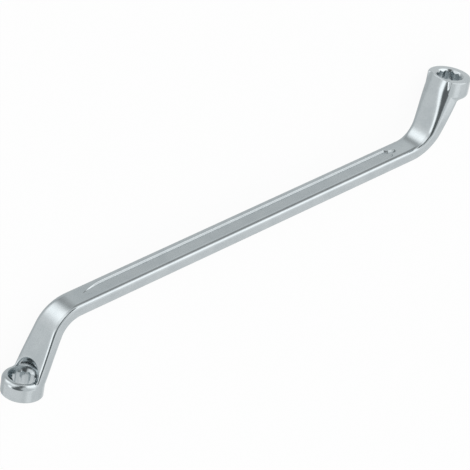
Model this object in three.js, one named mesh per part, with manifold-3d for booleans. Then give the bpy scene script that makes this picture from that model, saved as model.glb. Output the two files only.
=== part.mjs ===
// Deep offset double ring spanner: one steel forging, drawn as five named sections.
//
// Frame: millimetres, +Z up. The spanner lies on the barrels of its two rings, with its Z-shaped
// profile flat in the XY plane. Both ring axes run along Y, and the small ring is at +X, +Y.
// The origin is under the middle of the bounding box, on the surface that the rings rest on.

import * as THREE from 'three';
import * as BufferGeometryUtils from 'three/addons/utils/BufferGeometryUtils.js';
import Module from 'manifold-3d';

const wasm = await Module();
wasm.setup();

// Shank: the straight bar between the two bends, tilted in XY so that the ring axes are along Y
const shankWidth = 8.2;
const shankThickness = 3.8;
const shankTilt = THREE.MathUtils.degToRad(11.6);

// Recessed panel on both broad faces of the shank
const panelRim = 1.5; // left standing on each side of the panel
const panelDepth = 0.5;

// The two ends: each has a bend, a straight neck and a ring with its socket
const smallEnd = {
  side: 1, // +1 is toward +X and +Y
  straight: 58.9, // length of the shank from its middle to the bend
  panelSetback: 7.4, // from the panel to the bend
  bendRadius: 9.5,
  crankAngle: THREE.MathUtils.degToRad(60.5), // from the shank to the neck
  neckLength: 16.4,
  neckWidth: 12.2, // where the neck enters the ring
  neckThickness: 5.2,
  neckInset: 1.5, // from the ring's axis to the middle line, halfway up the ring
  ringDiameter: 12.2,
  ringHeight: 5.4,
  acrossFlats: 6,
};
const largeEnd = {
  side: -1,
  straight: 65,
  panelSetback: 3.6,
  bendRadius: 10.2,
  crankAngle: THREE.MathUtils.degToRad(64.6),
  neckLength: 13.5,
  neckWidth: 13.2,
  neckThickness: 5.6,
  neckInset: 1.8,
  ringDiameter: 13.3,
  ringHeight: 6,
  acrossFlats: 7,
};

// Forms shared by both rings
const innerEdgeRadius = 1.5; // rounding of a ring's barrel on the side that the neck comes from
const outerEdgeRadius = 0.4; // and on the opposite side
const socketPoints = 12;
const nutSides = 6;
const outerMouthRim = 0.3; // from the points of a socket to the edge of its mouth on the outer face
const outerMouthDepth = 0.3; // of the lead-in at that mouth, down to the points
const innerMouthRim = 1.1; // the same at the mouth on the side of the neck, which is wider
const innerMouthDepth = 0.8;
const clearanceRim = 0.1; // flat face left between the inner mouth and the scoop in the neck
const clearanceHeight = 4.5; // reach of the scoop from the ring's face along the neck

// Fineness, and sizes of cutting bodies
const overrun = 1; // how far a cutting body runs past what it cuts
const farAway = 300; // edge of the blocks that part the forging into its sections
const sectionSides = 32;
const bendSteps = 8;
const neckSteps = 6;
const ringSides = 60;
const roundingSteps = 6; // of a quarter of a rounded edge or of a scoop
const panelEndSteps = 12; // of the half circle at each end of a panel
const shankSquareness = 7; // exponent of the shank's section, where 2 is an ellipse
const outerSquareness = 4; // of the section's half away from the shank where the neck enters the ring
const innerSquareness = 2.6; // and of its other half
const drawnInShare = 0.25; // how much narrower that half gets there, as a share of the width
const thickening = 3; // exponent that keeps a neck's growth in thickness for its end

const steel = new THREE.MeshStandardMaterial({ color: 0xc4cacc, roughness: 0.28, metalness: 1 });

// Solids for joining and cutting

function solidFrom(geometry) {
  geometry.deleteAttribute('normal');
  geometry.deleteAttribute('uv');
  const merged = BufferGeometryUtils.mergeVertices(geometry);
  return new wasm.Manifold(new wasm.Mesh({
    numProp: 3,
    vertProperties: new Float32Array(merged.attributes.position.array),
    triVerts: new Uint32Array(merged.index.array),
  }));
}

function geometryFrom(solid) {
  const mesh = solid.getMesh();
  const geometry = new THREE.BufferGeometry();
  geometry.setAttribute('position', new THREE.BufferAttribute(mesh.vertProperties, 3));
  geometry.setIndex(new THREE.BufferAttribute(mesh.triVerts, 1));
  return geometry;
}

// Middle line: the shank, a bend and the straight neck, from the middle of the shank outward

function headingVector(heading) {
  return new THREE.Vector3(Math.cos(heading), Math.sin(heading), 0);
}

// Stations of one half of the middle line, each with the size and squareness of its section
function halfStations(end) {
  const bendLength = end.bendRadius * end.crankAngle;
  const bendStart = headingVector(shankTilt).multiplyScalar(end.straight);
  const stations = [];
  for (let step = 0; step <= bendSteps; step += 1) {
    const turned = (end.crankAngle * step) / bendSteps;
    const chord = 2 * end.bendRadius * Math.sin(turned / 2);
    const place = bendStart.clone().addScaledVector(headingVector(shankTilt + turned / 2), chord);
    stations.push({ place, turned, travelled: end.bendRadius * turned });
  }
  const neckStart = stations[bendSteps].place;
  for (let step = 1; step <= neckSteps; step += 1) {
    const run = (end.neckLength * step) / neckSteps;
    const place = neckStart.clone().addScaledVector(headingVector(shankTilt + end.crankAngle), run);
    stations.push({ place, turned: end.crankAngle, travelled: bendLength + run });
  }
  return stations.map(({ place, turned, travelled }) => {
    const grown = THREE.MathUtils.smoothstep(travelled, 0, bendLength + end.neckLength);
    return {
      place: place.multiplyScalar(end.side),
      outward: headingVector(shankTilt + turned - Math.PI / 2).multiplyScalar(end.side),
      width: THREE.MathUtils.lerp(shankWidth, end.neckWidth, grown),
      thickness: THREE.MathUtils.lerp(shankThickness, end.neckThickness, grown ** thickening),
      outerSquareness: THREE.MathUtils.lerp(shankSquareness, outerSquareness, grown),
      innerSquareness: THREE.MathUtils.lerp(shankSquareness, innerSquareness, grown),
      drawnIn: drawnInShare * grown,
    };
  });
}

// Middle of a ring: beside the end of the neck's middle line, away from the shank
function ringMiddle(end) {
  const neckEnd = halfStations(end).at(-1).place;
  return neckEnd.add(new THREE.Vector3(end.side * end.neckInset, 0, 0));
}

// Factor that takes a point of the unit circle onto the superellipse with that exponent
function superellipseReach(across, z, exponent) {
  const radius = Math.hypot(across, z);
  if (radius === 0) {
    return 0;
  }
  return (Math.abs(across / radius) ** exponent + Math.abs(z / radius) ** exponent) ** (-1 / exponent);
}

// Moves a point of the unit circle, across 1 on the outer face, onto a station's section. A section
// keeps its outer face in line with the shank's, so a thicker neck grows toward the shank.
function onSection(across, z, station) {
  const squareness = across > 0 ? station.outerSquareness : station.innerSquareness;
  const reach = superellipseReach(across, z, squareness);
  const outerFace = shankThickness / 2;
  const depth = (station.thickness * (1 - across * reach)) / 2;
  const narrowing = 1 - station.drawnIn * (depth / station.thickness);
  const moved = station.place.clone().addScaledVector(station.outward, outerFace - depth);
  moved.z = (z * reach * narrowing * station.width) / 2;
  return moved;
}

// The swept stem: a unit cylinder whose rims are moved onto the stations of the middle line
function stemSolid() {
  const largeHalf = halfStations(largeEnd).reverse();
  const stations = [...largeHalf, ...halfStations(smallEnd)];
  const lastStation = stations.length - 1;
  const geometry = new THREE.CylinderGeometry(1, 1, 1, sectionSides, lastStation);
  const position = geometry.attributes.position;
  for (let i = 0; i < position.count; i += 1) {
    const index = Math.round((position.getY(i) + 1 / 2) * lastStation);
    const outerSide = index < largeHalf.length ? -1 : 1;
    const moved = onSection(outerSide * position.getX(i), position.getZ(i), stations[index]);
    position.setXYZ(i, moved.x, moved.y, moved.z);
  }
  return solidFrom(geometry);
}

// Recessed panels: one shallow slot with round ends on each broad face of the shank

function panelCutter(end) {
  const radius = shankWidth / 2 - panelRim;
  const outline = new THREE.Shape();
  const smallReach = smallEnd.straight - smallEnd.panelSetback - radius;
  const largeReach = largeEnd.straight - largeEnd.panelSetback - radius;
  outline.absarc(smallReach, 0, radius, -Math.PI / 2, Math.PI / 2);
  outline.absarc(-largeReach, 0, radius, Math.PI / 2, -Math.PI / 2);
  const geometry = new THREE.ExtrudeGeometry(outline, {
    depth: panelDepth + overrun,
    bevelEnabled: false,
    curveSegments: panelEndSteps,
  });
  geometry.rotateX((end.side * Math.PI) / 2);
  geometry.translate(0, end.side * (panelDepth - shankThickness / 2), 0);
  geometry.rotateZ(shankTilt);
  return solidFrom(geometry);
}

// Rings and sockets, all turned about the ring's axis, which is along Y

function latheAbout(profile, place) {
  const geometry = new THREE.LatheGeometry(profile, ringSides);
  geometry.translate(place.x, place.y, place.z);
  return solidFrom(geometry);
}

// Quarter of an ellipse in a turned profile, from its widest place to its top
function quarterRound(radius, height, reach, rise) {
  const points = [];
  for (let step = 0; step <= roundingSteps; step += 1) {
    const angle = (step * Math.PI) / 2 / roundingSteps;
    points.push(new THREE.Vector2(radius + reach * Math.cos(angle), height + rise * Math.sin(angle)));
  }
  return points;
}

// Half of a ring's outline, from its barrel over the rounded edge to the axis, on its +Y or -Y face
function ringHalfOutline(end, direction) {
  const edgeRadius = direction === end.side ? outerEdgeRadius : innerEdgeRadius;
  const radius = end.ringDiameter / 2 - edgeRadius;
  const face = (direction * end.ringHeight) / 2;
  const rounding = quarterRound(radius, face - direction * edgeRadius, edgeRadius, direction * edgeRadius);
  return [...rounding, new THREE.Vector2(0, face)];
}

// The barrel ends at the plane of the neck's inner face, which runs on up to the ring's outer face
function ringSolid(end) {
  const outline = [...ringHalfOutline(end, -1).reverse(), ...ringHalfOutline(end, 1)];
  const neck = halfStations(end).at(-1);
  const innerFace = shankThickness / 2 - end.neckThickness;
  const beyond = neck.place.clone().addScaledVector(neck.outward, innerFace - farAway / 2);
  const block = new THREE.BoxGeometry(farAway, farAway, farAway);
  block.rotateZ(shankTilt + end.crankAngle);
  block.translate(beyond.x, beyond.y, 0);
  return latheAbout(outline, ringMiddle(end)).subtract(solidFrom(block));
}

// The twelve-point socket: the outline of two hexagons, one turned by half a side
function socketCutter(end) {
  const pointRadius = socketPointRadius(end);
  const notchRadius = end.acrossFlats / 2 / Math.cos(Math.PI / socketPoints);
  const corners = [];
  for (let corner = 0; corner < 2 * socketPoints; corner += 1) {
    const angle = (corner * Math.PI) / socketPoints;
    const radius = corner % 2 === 0 ? pointRadius : notchRadius;
    corners.push(new THREE.Vector2(radius * Math.cos(angle), radius * Math.sin(angle)));
  }
  const height = end.ringHeight + 2 * overrun;
  const geometry = new THREE.ExtrudeGeometry(new THREE.Shape(corners), {
    depth: height,
    bevelEnabled: false,
  });
  const middle = ringMiddle(end);
  geometry.rotateX(Math.PI / 2);
  geometry.translate(middle.x, middle.y + height / 2, middle.z);
  return solidFrom(geometry);
}

function socketPointRadius(end) {
  return end.acrossFlats / 2 / Math.cos(Math.PI / nutSides);
}

// Lead-in at a mouth of a socket: a cone that reaches the socket's points at the given depth
function mouthCutter(end, direction) {
  const outer = direction === end.side;
  const rim = outer ? outerMouthRim : innerMouthRim;
  const slope = (outer ? outerMouthDepth : innerMouthDepth) / rim;
  const radius = socketPointRadius(end) + rim;
  const face = (direction * end.ringHeight) / 2;
  const profile = [
    new THREE.Vector2(0, face - direction * radius * slope),
    new THREE.Vector2(radius + overrun, face + direction * overrun * slope),
    new THREE.Vector2(0, face + direction * overrun * slope),
  ];
  return latheAbout(direction > 0 ? profile : profile.reverse(), ringMiddle(end));
}

// Scoop in the neck over the inner mouth, so that a nut can enter from that side
function scoopCutter(end) {
  const radius = socketPointRadius(end) + innerMouthRim + clearanceRim;
  const direction = -end.side;
  const face = (direction * end.ringHeight) / 2;
  const dome = quarterRound(0, face, radius, direction * clearanceHeight);
  const profile = [new THREE.Vector2(0, face), ...dome];
  return latheAbout(direction > 0 ? profile : profile.reverse(), ringMiddle(end));
}

function wholeForging() {
  let forging = stemSolid();
  for (const end of [smallEnd, largeEnd]) {
    forging = forging.add(ringSolid(end));
  }
  for (const end of [smallEnd, largeEnd]) {
    forging = forging.subtract(scoopCutter(end));
    forging = forging.subtract(socketCutter(end));
    forging = forging.subtract(mouthCutter(end, 1));
    forging = forging.subtract(mouthCutter(end, -1));
    forging = forging.subtract(panelCutter(end));
  }
  return forging;
}

// Blocks that part the forging: beyond the inner face of a ring, and beyond the start of a bend

function ringBlock(end) {
  const geometry = new THREE.BoxGeometry(farAway, farAway, farAway);
  const innerFace = ringMiddle(end).y - (end.side * end.ringHeight) / 2;
  geometry.translate(0, innerFace + (end.side * farAway) / 2, 0);
  return solidFrom(geometry);
}

function neckBlock(end) {
  const geometry = new THREE.BoxGeometry(farAway, farAway, farAway);
  geometry.translate(end.side * (end.straight + farAway / 2), 0, 0);
  geometry.rotateZ(shankTilt);
  return solidFrom(geometry);
}

// Sections of the forging by name
function sections() {
  let rest = wholeForging();
  const named = {};
  for (const [name, end] of [['small', smallEnd], ['large', largeEnd]]) {
    named[`${name}_ring`] = rest.intersect(ringBlock(end));
    rest = rest.subtract(ringBlock(end));
    named[`${name}_neck`] = rest.intersect(neckBlock(end));
    rest = rest.subtract(neckBlock(end));
  }
  named.shank = rest;
  return named;
}

const spanner = new THREE.Group();
const extent = new THREE.Box3();
for (const [name, solid] of Object.entries(sections())) {
  const mesh = new THREE.Mesh(geometryFrom(solid), steel);
  mesh.name = name;
  spanner.add(mesh);
  extent.expandByObject(mesh);
}

// The origin goes to the middle of the bounding box's underside
const underside = extent.getCenter(new THREE.Vector3()).setZ(extent.min.z);
for (const mesh of spanner.children) {
  mesh.geometry.translate(-underside.x, -underside.y, -underside.z);
}

export default spanner;
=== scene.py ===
"""Deep-offset ring spanner: the finished look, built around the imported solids.

One steel forging with a satin chrome finish, dressed in five pieces that meet on the same
planes as the solids. The whole outer surface is the place where one field is zero: the swept
stem and the two rings are joined softly, and the scoops over the inner mouths and the recessed
panels are cut from them. Every piece is a grid of two parameters whose points are brought onto
that surface.
"""
import math

import bpy
import numpy as np
from bpy.props import FloatProperty, FloatVectorProperty, PointerProperty
from bpy.types import Operator, Panel, PropertyGroup
from mathutils import Euler, Matrix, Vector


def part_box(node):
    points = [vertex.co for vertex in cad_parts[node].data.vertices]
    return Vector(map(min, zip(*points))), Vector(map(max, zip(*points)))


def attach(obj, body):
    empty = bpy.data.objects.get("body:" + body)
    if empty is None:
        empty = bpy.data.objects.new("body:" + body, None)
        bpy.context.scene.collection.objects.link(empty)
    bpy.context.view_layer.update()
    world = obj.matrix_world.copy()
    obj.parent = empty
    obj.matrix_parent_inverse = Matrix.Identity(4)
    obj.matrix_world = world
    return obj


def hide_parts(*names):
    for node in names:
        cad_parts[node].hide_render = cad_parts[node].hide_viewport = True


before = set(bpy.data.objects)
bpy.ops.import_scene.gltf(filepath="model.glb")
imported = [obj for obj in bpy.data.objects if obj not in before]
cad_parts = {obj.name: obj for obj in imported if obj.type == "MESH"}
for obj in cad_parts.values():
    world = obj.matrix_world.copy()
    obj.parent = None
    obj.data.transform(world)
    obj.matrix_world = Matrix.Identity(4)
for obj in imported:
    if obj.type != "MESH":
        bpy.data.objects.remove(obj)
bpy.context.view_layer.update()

bl_info = {
    "name": "Deep-Offset Ring Spanner",
    "version": (1, 0, 0),
    "blender": (4, 5, 0),
    "location": "View3D > Sidebar > Spanner",
    "description": "Dresses the packed solids of a deep-offset ring spanner and lights them",
    "category": "Object",
}

BODY = "root"


# Sizes that a user would change


def length(name, description, default):
    """A length property in metres."""
    return FloatProperty(
        name=name, description=description, default=default, unit="LENGTH", precision=6
    )


def angle(name, description, degrees):
    """An angle property whose default is given in degrees."""
    return FloatProperty(
        name=name, description=description, default=math.radians(degrees), subtype="ANGLE"
    )


def fraction(name, description, default):
    """A property from 0 to 1."""
    return FloatProperty(
        name=name, description=description, default=default, min=0, max=1, subtype="FACTOR"
    )


class ShankSizes(PropertyGroup):
    """Straight bar between the two bends, with a recessed panel on each broad face."""

    width: length("Width", "Width of the broad faces", 0.0082)
    thickness: length("Thickness", "Distance between the broad faces", 0.0038)
    tilt: angle("Tilt", "Turn of the shank against +X, so that the ring axes are along Y", 11.6)
    panel_half_width: length("Panel half width", "From the middle of a panel to its lip", 0.00217)
    panel_depth: length("Panel depth", "Depth of the recessed panel", 0.0005)
    panel_wall: length("Panel wall", "Run of the sloped wall around a panel", 0.0004)
    panel_small_reach: length("Panel reach, small end", "From the middle of the shank", 0.0567)
    panel_large_reach: length("Panel reach, large end", "From the middle of the shank", 0.0612)
    panel_fade: length("Panel fade", "Run over which a panel rises at the small end", 0.009)
    panel_nose: length("Panel nose", "Length of its narrow nose at the large end", 0.0032)


class SmallEndSizes(PropertyGroup):
    """Bend, neck and ring at the small end."""

    crank: angle("Crank", "Turn from the shank to the neck", 60.5)


class LargeEndSizes(PropertyGroup):
    """Bend, neck and ring at the large end."""

    crank: angle("Crank", "Turn from the shank to the neck", 64.6)


END_LENGTHS = {  # what each is, and its default at the small and at the large end
    "straight": ("Length of the shank from its middle to the bend", 0.0589, 0.065),
    "bend_radius": ("Radius of the middle line in the bend", 0.0095, 0.0102),
    "neck_length": ("From the bend to halfway up the ring", 0.0164, 0.0135),
    "neck_width": ("Width where the neck enters the ring", 0.0122, 0.0132),
    "neck_thickness": ("Thickness where the neck enters the ring", 0.0052, 0.0056),
    "neck_inset": ("From the ring's axis to the neck's middle line", 0.0015, 0.0018),
    "ring_diameter": ("Diameter of the barrel", 0.0122, 0.0133),
    "ring_height": ("Height of the barrel", 0.0054, 0.006),
    "across_flats": ("Size of the hexagon that the socket takes", 0.006, 0.007),
}
for key, (about, *defaults) in END_LENGTHS.items():
    for group, default in zip((SmallEndSizes, LargeEndSizes), defaults):
        label = key.replace("_", " ").capitalize()
        group.__annotations__[key] = length(label, about, default)


class FormSizes(PropertyGroup):
    """Roundings and cuts shared by both ends."""

    inner_edge: length("Inner edge", "Rounding of a barrel on the side of the neck", 0.0015)
    outer_edge: length("Outer edge", "Rounding of a barrel on the opposite side", 0.0004)
    trim_edge: length("Trim edge", "Softness of the edge where the neck cuts a barrel", 0.0003)
    crease_blend: length("Crease blend", "Rounding of the crease where that cut ends", 0.0008)
    outer_mouth_rim: length("Outer mouth rim", "From a socket's points to its outer mouth", 0.0003)
    outer_mouth_depth: length("Outer mouth depth", "Depth of that lead-in at the points", 0.0003)
    inner_mouth_rim: length("Inner mouth rim", "From a socket's points to its inner mouth", 0.0011)
    inner_mouth_depth: length("Inner mouth depth", "Depth of that lead-in at the points", 0.0008)
    scoop_rim: length("Scoop rim", "Flat face between the inner mouth and the scoop", 0.0001)
    scoop_height: length("Scoop height", "Reach of the scoop from the ring's face", 0.0045)
    neck_blend: length("Neck blend", "Fillet where the neck meets the ring", 0.0012)
    scoop_blend: length("Scoop blend", "Rounding of the scoop's edge", 0.0012)


class MetalFinish(PropertyGroup):
    """Satin chrome on forged steel."""

    colour: FloatVectorProperty(
        name="Colour", description="Colour of the plate", subtype="COLOR",
        size=4, min=0, max=1, default=(0.537, 0.578, 0.594, 1),
    )
    shade_colour: FloatVectorProperty(
        name="Shade colour", description="Colour where the plate looks duller", subtype="COLOR",
        size=4, min=0, max=1, default=(0.48, 0.522, 0.54, 1),
    )
    roughness: fraction("Roughness", "Middle roughness of the plate", 0.15)
    panel_roughness: fraction("Panel roughness", "Middle roughness in the panels", 0.26)
    cloud: fraction("Cloud", "How much the roughness varies", 0.1)
    swell: FloatProperty(
        name="Swell", description="Height of the forging's swells against its grain",
        default=6.0, min=0,
    )
    bump: fraction("Bump", "Strength of the grain and swells", 0.5)
    bump_height: length("Bump height", "Height of the grain", 0.000004)


class StageSettings(PropertyGroup):
    """Camera of the stage."""

    focal_length: FloatProperty(
        name="Focal length", description="Focal length in millimetres on a 36 mm sensor",
        default=153.06, min=1,
    )


# The forging as a field that is zero on its surface and negative inside. Each end is worked out
# in its own turned frame, where the shank starts at the origin and the ring lies at +X, +Y.


SHANK_SQUARENESS = 7.0  # exponent of the shank's section, where 2 is an ellipse
OUTER_SQUARENESS = 7.0  # of the section's half away from the shank where the neck enters the ring
INNER_SQUARENESS = 2.6  # and of its other half
DRAWN_IN_SHARE = 0.25  # how much narrower that half gets there, as a share of the width
LAND_CROWN = 0.7  # how fast the shank's broad faces fall away toward their edges
LAND_START = 0.6  # and from which share of the half width on
THICKENING = 3  # exponent that keeps a neck's growth in thickness for its end
SPINE_SHARE = 0.88  # how far across the half width the rays of a section start
RAY_MARGIN = 0.0012  # how far past the section they end
FACE_GAP = 1e-6  # between a neck's last row and the ring's inner face
SOCKET_POINTS = 12
NUT_SIDES = 6
CUT_REACH_SHARE = 0.86  # share of a barrel's radius at which the neck's cut across it ends
CREASE_TURN = math.radians(47)  # where that is, about the ring's axis
CREASE_LEAN = math.radians(54)  # direction of the wall there
PANEL_POINT_POWER = 1.6  # how full the pointed end of a panel is
NOSE_WIDTH_SHARE = 0.5  # width of its nose at the large end, as a share of the panel's
NOSE_ROUNDNESS = 2.4  # exponent of the nose's outline
SHOULDER_STEEPNESS = 3  # how fast the panel narrows to its nose
MIDDLE_SHARE = 0.16  # share of a ring's diameter on each side of the middle without a fillet
MIDDLE_FADE = 0.2  # and the share over which the fillet then grows
TINY = 1e-9  # keeps a divisor away from zero
LEAST = 1e-30  # the same for the length of a vector
NO_BLEND = 1e-6  # added to a fillet's size, so that it can be zero

# How finely the surface is worked out

NORMAL_STEP = 2e-6  # half the run of a central difference
HALVINGS = 34  # rounds that bring a point onto the surface
WALL_TRIES = 41  # places tried across the thickness for the middle of the wall
LEAN_START = 0.3  # share of a neck's run after which its rows lean toward the ring's face
FACE_INSET = 1e-8  # how far inside its two faces a barrel's edges are looked for
NECK_SIDE_STEPS = 30  # columns around each side of a neck
NECK_FINE_ROWS = 80  # rows of a neck within reach of the scoop
NECK_ROWS = 48  # and from there to the bend
NECK_HALF_COLUMNS = 52
SHANK_SIDE_STEPS = 20
SHANK_COLUMNS = (  # first and last share of the half width, and the steps between them
    (0, 0.44, 24),
    (0.44, 0.64, 22),
)
SHANK_EDGE_COLUMNS = 12  # from there to the edge
SHANK_ROWS = 40  # from the middle to where the end of a panel starts
PANEL_END_ROWS = 64  # over the end of a panel
PANEL_END_RUN = 0.01  # metres of it, up to the panel's reach
PAST_PANEL = 0.0008  # and past that
SHANK_END_ROWS = 8  # from there to the bend


def smooth_step(t):
    """3 t^2 - 2 t^3, held at 0 below t = 0 and at 1 above t = 1."""
    t = np.clip(t, 0, 1)
    return t * t * (3 - 2 * t)


def mix(a, b, share):
    """a + (b - a) * share."""
    return a + (b - a) * share


def heading(turn):
    """Unit vector in the profile plane at that angle from +X."""
    return np.array([math.cos(turn), math.sin(turn)])


def unit(vectors):
    """Vectors over their length."""
    return vectors / np.maximum(np.linalg.norm(vectors, axis=-1, keepdims=True), LEAST)


def own_keys(settings):
    """Names of the properties that a property group was given here."""
    return [key for key in settings.bl_rna.properties.keys() if key not in ("rna_type", "name")]


class End:
    """Sizes and derived places of one end, in its own turned frame."""

    def __init__(self, sizes, shank, form, side):
        for key in own_keys(sizes):
            setattr(self, key, getattr(sizes, key))
        self.side, self.shank, self.form = side, shank, form
        tilt = shank.tilt
        self.bend_length = self.bend_radius * self.crank
        self.whole_length = self.bend_length + self.neck_length
        self.bend_start = heading(tilt) * self.straight
        self.bend_centre = self.bend_start + heading(tilt + math.pi / 2) * self.bend_radius
        self.neck_heading = tilt + self.crank
        self.neck_outward = heading(self.neck_heading - math.pi / 2)
        self.neck_start = self.bend_centre + self.neck_outward * self.bend_radius
        neck_end = self.neck_start + heading(self.neck_heading) * self.neck_length
        self.ring_middle = neck_end + np.array([self.neck_inset, 0])
        self.point_radius = self.across_flats / 2 / math.cos(math.pi / NUT_SIDES)
        self.notch_radius = self.across_flats / 2 / math.cos(math.pi / SOCKET_POINTS)
        self.outer_mouth = self.point_radius + form.outer_mouth_rim
        self.inner_mouth = self.point_radius + form.inner_mouth_rim
        self.scoop_radius = self.inner_mouth + form.scoop_rim
        self.face = self.ring_middle[1] - self.ring_height / 2
        self.inner_plane = shank.thickness / 2 - self.neck_thickness
        beside = (self.ring_middle - self.neck_start) @ self.neck_outward
        self.trim_distance = (beside - self.inner_plane) / self.neck_outward[0]
        self.face_travel = self.whole_length - self.ring_height / 2 / math.sin(self.neck_heading)

    def along(self, points):
        """Travel past the start of the bend, outward offset and outward direction of points."""
        xy = points[..., :2]
        tilt = self.shank.tilt
        from_bend = xy - self.bend_start
        straight_travel = from_bend @ heading(tilt)
        from_neck = xy - self.neck_start
        neck_travel = from_neck @ heading(self.neck_heading)
        from_centre = xy - self.bend_centre
        radius = np.hypot(from_centre[..., 0], from_centre[..., 1])
        turned = np.arctan2(from_centre[..., 1], from_centre[..., 0]) - (tilt - math.pi / 2)
        in_neck, in_shank = neck_travel > 0, straight_travel < 0
        travel = np.where(in_neck, self.bend_length + neck_travel, turned * self.bend_radius)
        travel = np.where(in_shank, straight_travel, travel)
        offset = np.where(in_neck, from_neck @ self.neck_outward, radius - self.bend_radius)
        offset = np.where(in_shank, from_bend @ heading(tilt - math.pi / 2), offset)
        outward = from_centre / np.maximum(radius, TINY)[..., None]
        outward = np.where(in_neck[..., None], self.neck_outward, outward)
        outward = np.where(in_shank[..., None], heading(tilt - math.pi / 2), outward)
        return travel, offset, outward

    def section(self, travel):
        """Width, thickness, squareness of the outer and of the inner half, narrowing of the
        inner half, and crown of the broad faces, at that travel."""
        grown = smooth_step(travel / self.whole_length)
        return (
            mix(self.shank.width, self.neck_width, grown),
            mix(self.shank.thickness, self.neck_thickness, grown**THICKENING),
            mix(SHANK_SQUARENESS, OUTER_SQUARENESS, grown),
            mix(SHANK_SQUARENESS, INNER_SQUARENESS, grown),
            DRAWN_IN_SHARE * grown,
            LAND_CROWN * (1 - grown),
        )


def stem_field(end, points):
    """Distance to the swept stem: how far the superellipse through a point is from the section,
    over the slope of that measure. The stem runs on without an end here. Also gives the slope
    of the field, the travel, and whether a point is in the half away from the shank."""
    travel, offset, outward = end.along(points)
    width, thickness, outer_squareness, inner_squareness, drawn_in, crown = end.section(travel)
    depth = end.shank.thickness / 2 - offset
    narrowing = 1 - drawn_in * np.clip(depth / thickness, 0, 1)
    beside = points[..., 2] / (width / 2 * narrowing)
    beyond = np.maximum(np.abs(beside) - LAND_START, 0)
    across = (1 - 2 * depth / thickness) * (1 + crown * beyond**2)
    power = np.where(across > 0, outer_squareness, inner_squareness)
    a, b = np.abs(across) + TINY, np.abs(beside) + TINY
    reach = (a**power + b**power) ** (1 / power)
    by_across = np.sign(across) * (a / reach) ** (power - 1)
    by_beside = np.sign(beside) * (b / reach) ** (power - 1)
    by_narrowing = by_beside * beside * drawn_in / (thickness * narrowing)
    slope_out = by_across * 2 / thickness - by_narrowing
    slope_up = by_beside * 2 / (width * narrowing)
    slope = np.maximum(np.hypot(slope_out, slope_up), TINY)
    gradient = np.concatenate(
        [outward * (slope_out / slope)[..., None], (slope_up / slope)[..., None]], axis=-1
    )
    return (reach - 1) / slope, gradient, travel, across > 0


def panel_field(end, points):
    """Negative in the recessed panel of a broad face: a depth that falls to nothing across the
    sloped wall along the panel's outline, and over a longer run at the small end."""
    shank = end.shank
    along = points[..., :2] @ heading(shank.tilt)
    offset = points[..., :2] @ heading(shank.tilt - math.pi / 2)
    half = shank.panel_half_width
    if end.side > 0:
        reach = shank.panel_small_reach
        run = np.clip((along - (reach - shank.panel_fade)) / shank.panel_fade, 0, 1)
        outline = half * (1 - run**PANEL_POINT_POWER)
        depth_share = smooth_step((reach - along) / shank.panel_fade)
    else:
        nose = shank.panel_nose
        shoulder = shank.panel_large_reach - nose
        narrow = half * NOSE_WIDTH_SHARE
        into_nose = np.clip((along - shoulder) / nose, 0, 1)
        tip = np.sqrt(np.clip(1 - into_nose**NOSE_ROUNDNESS, 0, 1))
        shoulders = 1 - smooth_step(into_nose * SHOULDER_STEEPNESS)
        outline = narrow * tip + (half - narrow) * shoulders
        depth_share = np.where(along < shank.panel_large_reach, 1.0, 0.0)
    inside = outline - np.abs(points[..., 2])
    depth = shank.panel_depth * smooth_step(inside / shank.panel_wall) * depth_share
    return np.abs(offset) - (shank.thickness / 2 - depth)


def barrel_field(end, points):
    """Distance to the barrel: a rectangle with rounded corners turned about the ring's axis."""
    form = end.form
    beside = points[..., 0] - end.ring_middle[0]
    radius = np.hypot(beside, points[..., 2])
    height = points[..., 1] - end.ring_middle[1]
    edge = np.where(height > 0, form.outer_edge, form.inner_edge)
    over_barrel = radius - (end.ring_diameter / 2 - edge)
    over_face = np.abs(height) - (end.ring_height / 2 - edge)
    both = np.hypot(np.maximum(over_barrel, 0), np.maximum(over_face, 0))
    distance = np.minimum(np.maximum(over_barrel, over_face), 0) + both - edge
    outside = both > LEAST
    divisor = np.maximum(both, LEAST)
    share_out = np.where(outside, np.maximum(over_barrel, 0) / divisor, over_barrel > over_face)
    share_up = np.where(outside, np.maximum(over_face, 0) / divisor, over_barrel <= over_face)
    per_radius = share_out / np.maximum(radius, TINY)
    gradient = np.stack(
        [per_radius * beside, share_up * np.sign(height), per_radius * points[..., 2]], axis=-1
    )
    return distance, gradient


def ring_field(end, points, stem, stem_slope, in_outer_half):
    """The barrel, cut away as far as the neck's inner face runs on through it. The cut ends in
    a crease on each side, where a leaning wall rises to the barrel."""
    form = end.form
    barrel, barrel_slope = barrel_field(end, points)
    cut_reach = end.ring_diameter / 2 * CUT_REACH_SHARE
    behind = end.ring_middle[0] - points[..., 0] - cut_reach * math.cos(CREASE_TURN)
    beside = np.abs(points[..., 2]) - cut_reach * math.sin(CREASE_TURN)
    wall = behind * math.sin(CREASE_LEAN) - beside * math.cos(CREASE_LEAN)
    neck_face = np.where(in_outer_half, -end.ring_diameter, stem)
    kept = soft_or(neck_face, wall, form.crease_blend)
    slope = np.where((kept > barrel)[..., None], stem_slope, barrel_slope)
    return soft_and(barrel, kept, form.trim_edge), slope


def scoop_field(end, points):
    """Distance to the scoop: a dome of revolution that stands on the ring's inner face."""
    radius = np.hypot(points[..., 0] - end.ring_middle[0], points[..., 2])
    above = end.face - points[..., 1]
    wide, high = end.scoop_radius, end.form.scoop_height
    reach = np.hypot(radius / wide, above / high) + TINY
    slope = np.hypot(radius / wide**2, above / high**2) / reach + TINY
    return (reach - 1) / slope


def soft_or(a, b, blend):
    """Lower of two fields, with a fillet of that size where they are alike."""
    near = np.maximum(blend - np.abs(a - b), 0) / blend
    return np.minimum(a, b) - near * near * blend / 4


def soft_and(a, b, blend):
    """Higher of two fields, with a rounding of that size where they are alike."""
    return -soft_or(-a, -b, blend)


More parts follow.
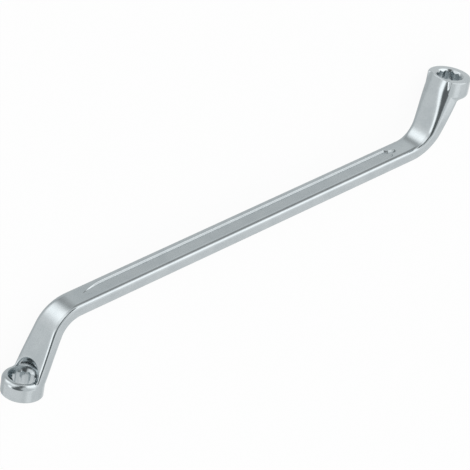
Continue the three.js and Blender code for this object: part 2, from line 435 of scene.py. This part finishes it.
def forging_field(end, points, panels=False, scoop=False):
    """The whole forging without its sockets. The stem and the barrel are joined softly where
    their surfaces cross, and hard where they run alongside each other."""
    run_on_stem, stem_slope, travel, in_outer_half = stem_field(end, points)
    body = np.maximum(run_on_stem, travel - end.whole_length)
    if panels:
        body = np.maximum(body, panel_field(end, points))
    ring, ring_slope = ring_field(end, points, run_on_stem, stem_slope, in_outer_half)
    alike = np.sum(stem_slope * ring_slope, axis=-1)
    from_middle = np.abs(points[..., 2]) / end.ring_diameter
    off_middle = smooth_step((from_middle - MIDDLE_SHARE) / MIDDLE_FADE)
    beside_cut = np.where(in_outer_half, 1, off_middle)
    blend = end.form.neck_blend * np.clip(1 - alike, 0, 1) * beside_cut
    joined = soft_or(body, ring, blend + NO_BLEND)
    if scoop:
        joined = soft_and(joined, -scoop_field(end, points), end.form.scoop_blend)
    return joined


def surface_normals(field, points):
    """Unit slope of a field, by central differences."""
    slope = np.empty(points.shape)
    for axis in range(3):
        move = np.zeros(3)
        move[axis] = NORMAL_STEP
        slope[..., axis] = field(points + move) - field(points - move)
    return unit(slope)


def onto_surface(field, inner, outer):
    """Points between inner and outer where the field changes sign, by halving."""
    low, high = np.zeros(inner.shape[:-1]), np.ones(inner.shape[:-1])
    for _ in range(HALVINGS):
        middle = (low + high) / 2
        inside = field(mix(inner, outer, middle[..., None])) < 0
        low, high = np.where(inside, middle, low), np.where(inside, high, middle)
    return mix(inner, outer, ((low + high) / 2)[..., None])


# Grids


def across_lines(shares):
    """Rising shares of a half width from the middle to its end, mirrored to run from end to end
    and without the last one."""
    return np.concatenate([-shares[:0:-1], shares[:-1]])


def section_loop(lines, side_steps):
    """One turn around a section: for each column, where it starts across the width, from -1 to
    1, and the angle of its ray from the outward direction. The columns run straight out along
    the outer face, fan around one side, run straight in along the inner face and fan back."""
    fan = np.linspace(0, math.pi, side_steps, endpoint=False)
    starts = np.concatenate([lines, np.ones(side_steps), -lines, -np.ones(side_steps)])
    turns = np.concatenate([0 * lines, fan, 0 * lines + math.pi, fan + math.pi])
    return starts, turns


def stem_grid(end, travels, lines, field, side_steps):
    """Points of the stem's surface, one row for each travel and one column for each ray of the
    loop. A ray starts halfway between the outer and the inner surface, so that it stays in the
    wall where the scoop has hollowed the neck."""
    shank = end.shank
    bend_turn = np.clip(travels, 0, end.bend_length) / end.bend_radius
    middle = end.bend_start + np.minimum(travels, 0)[:, None] * heading(shank.tilt)
    chord = 2 * end.bend_radius * np.sin(bend_turn / 2)
    way = shank.tilt + bend_turn / 2
    middle = middle + chord[:, None] * np.stack([np.cos(way), np.sin(way)], axis=-1)
    on_neck = np.maximum(travels - end.bend_length, 0)
    middle = middle + on_neck[:, None] * heading(end.neck_heading)
    leaning = smooth_step((travels / end.face_travel - LEAN_START) / (1 - LEAN_START))
    lean = (math.pi / 2 - end.neck_heading) * leaning
    turn = shank.tilt + bend_turn - math.pi / 2
    facing = np.stack([np.cos(turn + lean), np.sin(turn + lean)], axis=-1)
    width, thickness = end.section(travels)[:2]
    stretch = 1 / np.cos(lean)[:, None]

    def place(offset, rise):
        """Points at an offset and a rise, whose first axis is the rows'."""
        one_each = (1,) * (offset.ndim - 1)
        way = (offset * stretch.reshape(-1, *one_each))[..., None]
        xy = middle.reshape(-1, *one_each, 2) + way * facing.reshape(-1, *one_each, 2)
        return np.concatenate([xy, (rise + 0 * offset)[..., None]], axis=-1)

    starts, turns = section_loop(lines, side_steps)
    rise = SPINE_SHARE * starts * width[:, None] / 2
    tries = np.linspace(0, 1, WALL_TRIES)
    tried = shank.thickness / 2 - tries * thickness[:, None, None] + 0 * rise[..., None]
    inside = field(place(tried, rise[..., None])) < 0
    start = np.sum(tried * inside, axis=-1) / np.maximum(np.sum(inside, axis=-1), 1)
    far = thickness[:, None] + RAY_MARGIN
    inner = place(start, rise)
    outer = place(start + far * np.cos(turns), rise + far * np.sin(turns))
    return onto_surface(field, inner, outer)


def grid_faces(rows, columns, wrap_rows=False):
    """Quads of a grid whose columns close on themselves, and its rows too where asked."""
    quad_rows = np.arange(rows if wrap_rows else rows - 1)
    row, column = np.meshgrid(quad_rows, np.arange(columns), indexing="ij")
    here, beyond = row * columns, (row + 1) % rows * columns
    beside = (column + 1) % columns
    corners = [here + column, here + beside, beyond + beside, beyond + column]
    return np.stack(corners, axis=-1).reshape(-1, 4)


def face_normals(points, faces):
    """Cross product of each quad's diagonals, which is square to it."""
    diagonal_a = points[faces[:, 2]] - points[faces[:, 0]]
    diagonal_b = points[faces[:, 3]] - points[faces[:, 1]]
    return np.cross(diagonal_a, diagonal_b)


def to_world(end, points):
    """From an end's turned frame to the shared frame of the solids."""
    turned = points * [end.side, end.side, 1]
    return turned + end.shift


def make_piece(name, end, points, faces, corner_normals, node, recess=None):
    """A closed mesh object from points, faces and a normal for each corner of each face. Where
    recess is given, it says for each point how far it is down in a panel, from 0 to 1."""
    world = to_world(end, points)
    normals = corner_normals * [end.side, end.side, 1]
    mesh = bpy.data.meshes.new(name)
    mesh.from_pydata(world.tolist(), [], faces)
    mesh.update()
    mesh.normals_split_custom_set(normals.tolist())
    mesh.validate()
    depth = np.zeros(len(points)) if recess is None else recess
    attribute = mesh.attributes.new("recess", "FLOAT", "POINT")
    attribute.data.foreach_set("value", depth.astype(np.float32))
    piece = bpy.data.objects.new(name, mesh)
    bpy.context.scene.collection.objects.link(piece)
    piece.data.materials.append(plated_steel())
    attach(piece, BODY)
    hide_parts(node)
    return piece


def tube_piece(name, end, grid, normals, node, recess=None):
    """A piece from a grid of rows around the stem, closed by a flat face at each end."""
    rows, columns = grid.shape[:2]
    faces = grid_faces(rows, columns)
    points = grid.reshape(-1, 3)
    flat_normals = normals.reshape(-1, 3)
    facing = np.sum(face_normals(points, faces) * flat_normals[faces].mean(axis=1), axis=1)
    first = np.arange(columns)
    last = first + (rows - 1) * columns
    if np.median(facing) < 0:
        faces = faces[:, ::-1]
        caps = [first, last[::-1]]
    else:
        caps = [first[::-1], last]
    corner_normals = [flat_normals[faces].reshape(-1, 3)]
    for cap in caps:
        ring = points[cap]
        spokes = ring - ring.mean(axis=0)
        normal = unit(np.cross(spokes, np.roll(spokes, -1, axis=0)).sum(axis=0))
        corner_normals.append(np.broadcast_to(normal, ring.shape))
    all_faces = faces.tolist() + [cap.tolist() for cap in caps]
    return make_piece(name, end, points, all_faces, np.concatenate(corner_normals), node, recess)


def neck_piece(end, name):
    """Bend and neck of one end, from the start of the bend to the ring's inner face."""
    last = end.face_travel - FACE_GAP
    scoop_end = last - end.form.scoop_height
    fine = np.linspace(last, scoop_end, NECK_FINE_ROWS, endpoint=False)
    travels = np.concatenate([fine, np.linspace(scoop_end, 0, NECK_ROWS)])
    lines = across_lines(np.sin(np.linspace(0, math.pi / 2, NECK_HALF_COLUMNS)))

    def field(points):
        return forging_field(end, points, scoop=True)

    grid = stem_grid(end, travels, lines, field, NECK_SIDE_STEPS)
    return tube_piece(name, end, grid, surface_normals(field, grid), name)


def shank_piece(ends):
    """The straight bar: the two halves of its grid meet at the middle."""
    small = ends[0]
    shares = [np.linspace(*columns, endpoint=False) for columns in SHANK_COLUMNS]
    edge = np.linspace(SHANK_COLUMNS[-1][1], 1, SHANK_EDGE_COLUMNS)
    lines = across_lines(np.concatenate([*shares, edge]))
    halves = []
    for end in ends:
        reach = end.shank.panel_small_reach if end.side > 0 else end.shank.panel_large_reach
        fine_start, fine_end = reach - PANEL_END_RUN, reach + PAST_PANEL
        stops = np.concatenate([
            np.linspace(0, fine_start, SHANK_ROWS, endpoint=False),
            np.linspace(fine_start, fine_end, PANEL_END_ROWS, endpoint=False),
            np.linspace(fine_end, end.straight, SHANK_END_ROWS),
        ])

        def field(points, end=end):
            return forging_field(end, points, panels=True)

        grid = stem_grid(end, stops - end.straight, lines, field, SHANK_SIDE_STEPS)
        half = np.stack([grid, surface_normals(field, grid)])
        if end.side < 0:
            # this half's loop starts on its own outer face, which is the other half's inner one
            columns = grid.shape[1]
            order = (len(lines) * 2 + SHANK_SIDE_STEPS - np.arange(columns)) % columns
            half = half[:, :0:-1, order] * [-1, -1, 1]
        halves.insert(0, half)
    whole, normals = np.concatenate(halves, axis=1)
    points = whole.reshape(-1, 3)
    offset = np.abs(points[:, :2] @ heading(small.shank.tilt - math.pi / 2))
    lowered = small.shank.thickness / 2 - offset
    on_floor = np.abs(points[:, 2]) < small.shank.panel_half_width
    recess = np.clip(lowered / small.shank.panel_depth, 0, 1) * on_floor
    return tube_piece("shank", small, whole, normals, "shank", recess)


def ring_piece(end, name):
    """A ring with its socket. Rays from the middle of the wall find the outer surface between
    the two mouths, and the socket is a star of flat facets between two cones."""
    facet_steps = 12
    columns = 2 * SOCKET_POINTS * facet_steps
    turns = np.arange(columns) * 2 * math.pi / columns
    around = np.stack([np.cos(turns), np.zeros(columns), np.sin(turns)], axis=-1)
    middle = np.array([*end.ring_middle, 0.0])
    half_height = end.ring_height / 2
    core = (end.point_radius + end.trim_distance) / 2
    wide = end.ring_diameter
    axis = np.array([0.0, 1.0, 0.0])

    def outer_field(points):
        return forging_field(end, points)

    def piece_field(points):
        return np.maximum(outer_field(points), end.face - points[..., 1])

    def reach_at(height):
        start = middle + axis * height
        in_socket = start + around * end.notch_radius / 2
        found = onto_surface(outer_field, in_socket, start + around * wide)
        return np.linalg.norm(found - start, axis=-1)

    inset_height = half_height - FACE_INSET
    top_radius, edge_radius = reach_at(inset_height), reach_at(-inset_height)
    first_turn = math.atan2(half_height, end.outer_mouth - core)
    top_turn = np.arctan2(half_height, top_radius - core)
    edge_turn = np.arctan2(-half_height, edge_radius - core)
    top_rows, cap_rows = 5, 6
    edge_rows, edge_share, barrel_rows = 18, 0.12, 60
    down = np.concatenate([
        np.linspace(0, edge_share, edge_rows, endpoint=False),
        np.linspace(edge_share, 1, barrel_rows),
    ])
    surface_rows = top_rows + len(down)
    over_top = np.linspace(0, 1, top_rows, endpoint=False)
    rays = np.concatenate([
        mix(first_turn, top_turn[None], over_top[:, None]),
        mix(top_turn[None], edge_turn[None], down[:, None]),
    ])
    inner = middle + core * around
    outer = inner + wide * (np.cos(rays)[..., None] * around + np.sin(rays)[..., None] * axis)
    outside = onto_surface(piece_field, np.broadcast_to(inner, outer.shape), outer)
    outside[0] = middle + axis * half_height + around * end.outer_mouth
    outside[-1] = middle - axis * half_height + around * edge_radius[:, None]
    outside_normals = surface_normals(outer_field, outside)
    inward = np.linspace(0, 1, cap_rows + 1)[1:-1, None]
    cap_radius = mix(edge_radius[None], end.inner_mouth, inward)
    cap = middle - axis * half_height + around * cap_radius[..., None]
    outside = np.concatenate([outside, cap])

    within = turns % (2 * math.pi / SOCKET_POINTS)
    sector = math.pi / SOCKET_POINTS
    from_point = np.where(within > sector, 2 * sector - within, within)
    star = (
        end.point_radius * end.notch_radius * math.sin(sector)
        / (end.point_radius * np.sin(from_point) + end.notch_radius * np.sin(sector - from_point))
    )
    form = end.form
    inner_drop = (end.inner_mouth - star) * form.inner_mouth_depth / form.inner_mouth_rim
    outer_drop = (end.outer_mouth - star) * form.outer_mouth_depth / form.outer_mouth_rim
    cone_rows, socket_rows = 4, 6
    into = np.linspace(0, 1, cone_rows)[:, None]
    between = np.linspace(0, 1, socket_rows + 1)[1:-1, None]
    out = into[:0:-1]
    low, high = inner_drop - half_height, half_height - outer_drop
    radii = [mix(end.inner_mouth, star, into), star + 0 * between, mix(end.outer_mouth, star, out)]
    heights = [mix(-half_height, low, into), mix(low, high, between), mix(half_height, high, out)]
    radii, heights = np.concatenate(radii)[..., None], np.concatenate(heights)[..., None]
    grid = np.concatenate([outside, middle + around * radii + axis * heights])
    rows = len(grid)
    faces = grid_faces(rows, columns, wrap_rows=True)
    points = grid.reshape(-1, 3)
    face_row = np.repeat(np.arange(rows), columns)
    smooth = face_row < surface_rows - 1
    normals = np.zeros(points.shape)
    normals[: surface_rows * columns] = outside_normals.reshape(-1, 3)
    corner = normals[faces]
    flat = unit(face_normals(points, faces))
    facing = np.sum(flat[smooth] * corner[smooth].mean(axis=1), axis=1)
    if np.median(facing) < 0:
        faces, corner, flat = faces[:, ::-1], corner[:, ::-1], -flat
    corner = np.where(smooth[:, None, None], corner, flat[:, None, :])
    return make_piece(name, end, points, faces.tolist(), corner.reshape(-1, 3), name)


# Materials

CLOUDS = (190.0, 4.0, 0.6)  # noise: scale per metre, detail and roughness
SPECKS = (2100.0, 3.0, 0.7)
GRAIN = (3600.0, 2.0, 0.6)
SWELLS = (120.0, 2.0, 0.4)
CLOUD_TONE_SHARE = 0.6  # how much of the tone the clouds give, where the specks give the rest
TONE_LOW, TONE_HIGH = 0.36, 0.62  # tones that get the shade colour and the full colour
LEAST_ROUGHNESS = 0.04
SATIN_DEFAULTS = {"Roughness": 0.2, "Cloud": 0.05, "Grain": 1.0, "Swell": 1.0}
PANEL_GRAIN = 1.3  # grain in the panels against the rest


def noise(group, vector, scale, detail, rough):
    """Noise texture node on a vector, with its value around 0.5."""
    node = group.nodes.new("ShaderNodeTexNoise")
    node.inputs["Scale"].default_value = scale
    node.inputs["Detail"].default_value = detail
    node.inputs["Roughness"].default_value = rough
    group.links.new(vector, node.inputs["Vector"])
    return node.outputs["Fac"]


def calculate(group, operation, *values):
    """Math node on sockets or plain numbers."""
    node = group.nodes.new("ShaderNodeMath")
    node.operation = operation
    for socket, value in zip(node.inputs, values):
        if isinstance(value, (int, float)):
            socket.default_value = value
        else:
            group.links.new(value, socket)
    return node.outputs[0]


def remap(group, value, low, high, to_low, to_high, smooth=True):
    """Map Range node between plain numbers or sockets."""
    node = group.nodes.new("ShaderNodeMapRange")
    node.interpolation_type = "SMOOTHSTEP" if smooth else "LINEAR"
    node.clamp = True
    numbers = {
        "Value": value, "From Min": low, "From Max": high, "To Min": to_low, "To Max": to_high,
    }
    for key, number in numbers.items():
        if isinstance(number, (int, float)):
            node.inputs[key].default_value = number
        else:
            group.links.new(number, node.inputs[key])
    return node.outputs["Result"]


def mix_colours(tree, share, first, second):
    """Mix node between two plain colours."""
    node = tree.nodes.new("ShaderNodeMix")
    node.data_type = "RGBA"
    node.inputs["A"].default_value = first
    node.inputs["B"].default_value = second
    tree.links.new(share, node.inputs["Factor"])
    return node.outputs["Result"]


def satin_group():
    """Look of satin plate over a forging, from a position in metres: how rough it is, how much
    its colour is toned, and the height of its grain. Broad clouds vary the roughness, a fine
    grain breaks up reflections, and low swells stay from the forging under the plate."""
    name = "satin_plate"
    if name in bpy.data.node_groups:
        return bpy.data.node_groups[name]
    group = bpy.data.node_groups.new(name, "ShaderNodeTree")
    sockets = group.interface
    sockets.new_socket(name="Position", in_out="INPUT", socket_type="NodeSocketVector")
    for key, default in SATIN_DEFAULTS.items():
        socket = sockets.new_socket(name=key, in_out="INPUT", socket_type="NodeSocketFloat")
        socket.default_value = default
    for key in ("Roughness", "Tone", "Height"):
        sockets.new_socket(name=key, in_out="OUTPUT", socket_type="NodeSocketFloat")
    start = group.nodes.new("NodeGroupInput")
    end = group.nodes.new("NodeGroupOutput")
    position = start.outputs["Position"]
    clouds, specks = noise(group, position, *CLOUDS), noise(group, position, *SPECKS)
    grain, swells = noise(group, position, *GRAIN), noise(group, position, *SWELLS)

    def around_zero(value):
        centred = calculate(group, "SUBTRACT", value, 0.5)
        return calculate(group, "MULTIPLY", centred, start.outputs["Cloud"])

    uneven = calculate(group, "ADD", around_zero(clouds), around_zero(specks))
    rough = calculate(group, "ADD", start.outputs["Roughness"], uneven)
    group.links.new(calculate(group, "MAXIMUM", rough, LEAST_ROUGHNESS), end.inputs["Roughness"])
    cloud_tone = calculate(group, "MULTIPLY", clouds, CLOUD_TONE_SHARE)
    speck_tone = calculate(group, "MULTIPLY", specks, 1 - CLOUD_TONE_SHARE)
    group.links.new(calculate(group, "ADD", cloud_tone, speck_tone), end.inputs["Tone"])
    fine = calculate(group, "MULTIPLY", grain, start.outputs["Grain"])
    broad = calculate(group, "MULTIPLY", swells, start.outputs["Swell"])
    group.links.new(calculate(group, "ADD", fine, broad), end.inputs["Height"])
    return group


def plated_steel():
    """Satin chrome: a little cloudy, with fine waves left by the forging under the plate. The
    floors of the recessed panels are matter than the rest."""
    made = bpy.data.materials.get("satin_chrome")
    if made:
        return made
    finish = bpy.context.scene.spanner_metal
    material = bpy.data.materials.new("satin_chrome")
    material.use_nodes = True
    tree = material.node_tree
    nodes, links = tree.nodes, tree.links
    shader = nodes["Principled BSDF"]
    place = nodes.new("ShaderNodeTexCoord")
    recess = nodes.new("ShaderNodeAttribute")
    recess.attribute_name = "recess"
    matt = recess.outputs["Fac"]
    plate = nodes.new("ShaderNodeGroup")
    plate.node_tree = satin_group()
    links.new(place.outputs["Object"], plate.inputs["Position"])
    plate.inputs["Cloud"].default_value = finish.cloud
    rough = remap(tree, matt, 0.0, 1.0, finish.roughness, finish.panel_roughness, smooth=False)
    grain = remap(tree, matt, 0.0, 1.0, 1.0, PANEL_GRAIN, smooth=False)
    links.new(rough, plate.inputs["Roughness"])
    links.new(grain, plate.inputs["Grain"])
    plate.inputs["Swell"].default_value = finish.swell
    tone = remap(tree, plate.outputs["Tone"], TONE_LOW, TONE_HIGH, 0.0, 1.0)
    colour = mix_colours(tree, tone, finish.shade_colour, finish.colour)
    links.new(colour, shader.inputs["Base Color"])
    links.new(plate.outputs["Roughness"], shader.inputs["Roughness"])
    bump = nodes.new("ShaderNodeBump")
    bump.inputs["Strength"].default_value = finish.bump
    bump.inputs["Distance"].default_value = finish.bump_height
    links.new(plate.outputs["Height"], bump.inputs["Height"])
    links.new(bump.outputs["Normal"], shader.inputs["Normal"])
    shader.inputs["Metallic"].default_value = 1.0
    return material


# Stage

SENSOR_WIDTH = 36.0  # millimetres
CAMERA_PLACE = (0.363943, -0.263720, 0.372469)
CAMERA_RIGHT = (-0.759466, -0.159924, 0.630583)
CAMERA_UP = (-0.189161, -0.873144, -0.449263)
CAMERA_BACK = (0.622438, -0.460482, 0.632872)
CAMERA_CLIP = (0.01, 20.0)
STRAIGHT_DOWN_LEVEL, BELOW_LEVEL, ABOVE_LEVEL = 0.529, 0.926, 0.86
DOWNWARD_RISES = (-52, -42)  # degrees between which the first level turns into the second
HORIZON_RISES = (-4, 4)  # and the second into the third
TINT_LEVELS = (0.6, 1.0)  # levels between which the screens' tint goes over into white
SCREEN_TINT, WHITE = (0.95, 1.0, 1.01, 1), (1, 1, 1, 1)
FLOOR_HALF = 3.0  # metres
FLOOR_COLOUR = (0.9, 0.9, 0.9, 1)
FLOOR_ROUGHNESS = 0.9
BEHIND_FADE = 0.2  # cosine to a window's middle below which the window fades out
GLOW_SHARE = 0.94  # how much of the floor's brightness is its own where something looks at it
CLEAR_SHARE = 0.6  # how much of what the metal would see of the floor is seen through it


def place_camera(scene, stage):
    """The photograph's camera, in the shared frame."""
    data = bpy.data.cameras.new("camera")
    data.lens = stage.focal_length
    data.sensor_width = SENSOR_WIDTH
    data.clip_start, data.clip_end = CAMERA_CLIP
    camera = bpy.data.objects.new("camera", data)
    scene.collection.objects.link(camera)
    turn = Matrix((CAMERA_RIGHT, CAMERA_UP, CAMERA_BACK)).transposed().to_4x4()
    camera.matrix_world = Matrix.Translation(CAMERA_PLACE) @ turn
    scene.camera = camera


def soft_box(group, way, turn, rise, half_turn, half_rise, edge):
    """Share of a soft-edged oval window in the surroundings, seen along a direction: its middle
    is at that turn about +Z from +X and at that rise, and its half sizes are angles too."""
    turned = Euler((0, -math.radians(rise), math.radians(turn))).to_matrix()
    ahead, aside, upright = turned.col

    def share(axis, half):
        node = group.nodes.new("ShaderNodeVectorMath")
        node.operation = "DOT_PRODUCT"
        group.links.new(way, node.inputs[0])
        node.inputs[1].default_value = axis
        return calculate(group, "DIVIDE", node.outputs["Value"], math.sin(math.radians(half)))

    across, along = share(aside, half_turn), share(upright, half_rise)
    squares = [calculate(group, "MULTIPLY", value, value) for value in (across, along)]
    out = calculate(group, "SQRT", calculate(group, "ADD", *squares))
    inside = remap(group, out, 1 - edge, 1 + edge, 1.0, 0.0)
    facing = remap(group, share(ahead, 90.0), 0.0, BEHIND_FADE, 0.0, 1.0)
    return calculate(group, "MULTIPLY", inside, facing)


# Windows and dark screens of the studio, where later ones lie over earlier ones: turn, rise, half
# turn and half rise in degrees, softness of the edge as a share, and strength. What lies below
# the horizon shows in the metal through the floor.
STUDIO = [
    (-112, -50, 34, 14, 0.5, 0.586),
    (-110, -22, 36, 10, 0.4, 0.0),
    (-84, -40, 12, 14, 0.8, 0.15),
    (-128, 55, 28, 16, 0.4, 1.2),
    (-112, 20, 34, 24, 0.2, 1.7),
    (-28, -34, 34, 18, 0.8, 1.14),
    (12, -40, 20, 14, 0.8, 0.827),
    (-52, -36, 15, 15, 0.8, 2.2),
    (-50, -8, 16, 11, 0.4, 1.78),
    (-81, 13, 13, 13, 0.3, 0.12),
    (-38, 25, 32, 14, 0.3, 0.16),
    (2, -12, 17, 10, 0.5, 2.34),
    (2, 28, 22, 29, 0.2, 0.18),
    (128, 66, 26, 12, 0.5, 1.2),
    (143, 38, 30, 18, 0.5, 0.95),
    (44, 0, 14, 40, 0.4, 1.0),
]


def light_world(scene):
    """Soft studio for the metal to mirror: pale all around and duller straight down, with
    windows and screens. The camera sees it white."""
    world = bpy.data.worlds.new("studio")
    world.use_nodes = True
    tree = world.node_tree
    nodes, links = tree.nodes, tree.links
    way = nodes.new("ShaderNodeTexCoord").outputs["Generated"]
    apart = nodes.new("ShaderNodeSeparateXYZ")
    links.new(way, apart.inputs["Vector"])
    rise = apart.outputs["Z"]
    steep, slight = (math.sin(math.radians(degrees)) for degrees in DOWNWARD_RISES)
    under, over = (math.sin(math.radians(degrees)) for degrees in HORIZON_RISES)
    level = remap(tree, rise, steep, slight, STRAIGHT_DOWN_LEVEL, BELOW_LEVEL)
    above = remap(tree, rise, under, over, 0.0, 1.0)
    level = remap(tree, above, 0.0, 1.0, level, ABOVE_LEVEL, smooth=False)
    for turn, rise, half_turn, half_rise, edge, strength in STUDIO:
        share = soft_box(tree, way, turn, rise, half_turn, half_rise, edge)
        kept = calculate(tree, "MULTIPLY", level, calculate(tree, "SUBTRACT", 1.0, share))
        level = calculate(tree, "ADD", kept, calculate(tree, "MULTIPLY", share, strength))
    seen = nodes.new("ShaderNodeLightPath").outputs["Is Camera Ray"]
    level = remap(tree, seen, 0.0, 1.0, level, 1.0, smooth=False)
    links.new(level, nodes["Background"].inputs["Strength"])
    whiteness = remap(tree, level, *TINT_LEVELS, 0.0, 1.0)
    tint = mix_colours(tree, whiteness, SCREEN_TINT, WHITE)
    links.new(tint, nodes["Background"].inputs["Color"])
    scene.world = world


def lay_floor(scene):
    """A wide pale floor at the height that the rings rest on. Where the camera or the metal looks
    at it, most of its brightness is its own, so that it shows white with a faint shadow. The
    metal also sees the studio's lower half through it."""
    mesh = bpy.data.meshes.new("floor")
    half = FLOOR_HALF
    corners = [(-half, -half, 0), (half, -half, 0), (half, half, 0), (-half, half, 0)]
    mesh.from_pydata(corners, [], [(0, 1, 2, 3)])
    floor = bpy.data.objects.new("floor", mesh)
    scene.collection.objects.link(floor)
    material = bpy.data.materials.new("pale_floor")
    material.use_nodes = True
    tree = material.node_tree
    nodes, links = tree.nodes, tree.links
    shader = nodes["Principled BSDF"]
    shader.inputs["Base Color"].default_value = FLOOR_COLOUR
    shader.inputs["Roughness"].default_value = FLOOR_ROUGHNESS
    shader.inputs["Specular IOR Level"].default_value = 0.0
    glow = nodes.new("ShaderNodeEmission").outputs["Emission"]
    clear = nodes.new("ShaderNodeBsdfTransparent").outputs["BSDF"]
    path = nodes.new("ShaderNodeLightPath")
    glossy, through = path.outputs["Is Glossy Ray"], path.outputs["Is Transmission Ray"]
    by_metal = calculate(tree, "MAXIMUM", glossy, through)
    looked_at = calculate(tree, "MAXIMUM", path.outputs["Is Camera Ray"], by_metal)
    surface = shader.outputs["BSDF"]
    for seen, share, other in ((looked_at, GLOW_SHARE, glow), (by_metal, CLEAR_SHARE, clear)):
        mixed = nodes.new("ShaderNodeMixShader")
        links.new(calculate(tree, "MULTIPLY", seen, share), mixed.inputs["Fac"])
        links.new(surface, mixed.inputs[1])
        links.new(other, mixed.inputs[2])
        surface = mixed.outputs["Shader"]
    links.new(surface, nodes["Material Output"].inputs["Surface"])
    mesh.materials.append(material)


# Operators


def both_ends(scene):
    """The two ends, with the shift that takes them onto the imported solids."""
    sizes = [(scene.spanner_small_end, 1), (scene.spanner_large_end, -1)]
    ends = [End(group, scene.spanner_shank, scene.spanner_form, side) for group, side in sizes]
    small = ends[0]
    low, high = (np.array(corner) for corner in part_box("small_ring"))
    half_size = np.array([small.ring_diameter, small.ring_height, high[2] - low[2]]) / 2
    shift = high - half_size - [*small.ring_middle, 0.0]
    for end in ends:
        end.shift = shift
    return ends


class SPANNER_OT_rings(Operator):
    """Builds both rings with their sockets"""

    bl_idname = "spanner.rings"
    bl_label = "Rings"

    def execute(self, context):
        for end, name in zip(both_ends(context.scene), ("small_ring", "large_ring")):
            ring_piece(end, name)
        return {"FINISHED"}


class SPANNER_OT_necks(Operator):
    """Builds both bends and necks"""

    bl_idname = "spanner.necks"
    bl_label = "Necks"

    def execute(self, context):
        for end, name in zip(both_ends(context.scene), ("small_neck", "large_neck")):
            neck_piece(end, name)
        return {"FINISHED"}


class SPANNER_OT_shank(Operator):
    """Builds the straight bar with its recessed panels"""

    bl_idname = "spanner.shank"
    bl_label = "Shank"

    def execute(self, context):
        shank_piece(both_ends(context.scene))
        return {"FINISHED"}


class SPANNER_OT_stage(Operator):
    """Sets up the camera, the floor and the soft light"""

    bl_idname = "spanner.stage"
    bl_label = "Stage"

    def execute(self, context):
        scene = context.scene
        scene.view_settings.view_transform = "Standard"
        place_camera(scene, scene.spanner_stage)
        light_world(scene)
        lay_floor(scene)
        return {"FINISHED"}


class SPANNER_PT_panel(Panel):
    """Lists the sizes and the operators of the spanner"""

    bl_label = "Ring Spanner"
    bl_idname = "SPANNER_PT_panel"
    bl_space_type = "VIEW_3D"
    bl_region_type = "UI"
    bl_category = "Spanner"

    def draw(self, context):
        layout = self.layout
        for attribute, _ in SETTINGS:
            group = getattr(context.scene, attribute)
            box = layout.box()
            for key in own_keys(group):
                box.prop(group, key)
        for operator in OPERATORS:
            layout.operator(operator.bl_idname)


SETTINGS = [
    ("spanner_shank", ShankSizes),
    ("spanner_small_end", SmallEndSizes),
    ("spanner_large_end", LargeEndSizes),
    ("spanner_form", FormSizes),
    ("spanner_metal", MetalFinish),
    ("spanner_stage", StageSettings),
]
OPERATORS = [SPANNER_OT_rings, SPANNER_OT_necks, SPANNER_OT_shank, SPANNER_OT_stage]


def register():
    for _, group in SETTINGS:
        bpy.utils.register_class(group)
    for attribute, group in SETTINGS:
        setattr(bpy.types.Scene, attribute, PointerProperty(type=group))
    for cls in [*OPERATORS, SPANNER_PT_panel]:
        bpy.utils.register_class(cls)


def unregister():
    for cls in [SPANNER_PT_panel, *reversed(OPERATORS)]:
        bpy.utils.unregister_class(cls)
    for attribute, group in reversed(SETTINGS):
        delattr(bpy.types.Scene, attribute)
        bpy.utils.unregister_class(group)


def main():
    register()
    bpy.ops.spanner.stage()
    bpy.ops.spanner.shank()
    bpy.ops.spanner.necks()
    bpy.ops.spanner.rings()


if __name__ == "__main__":
    main()
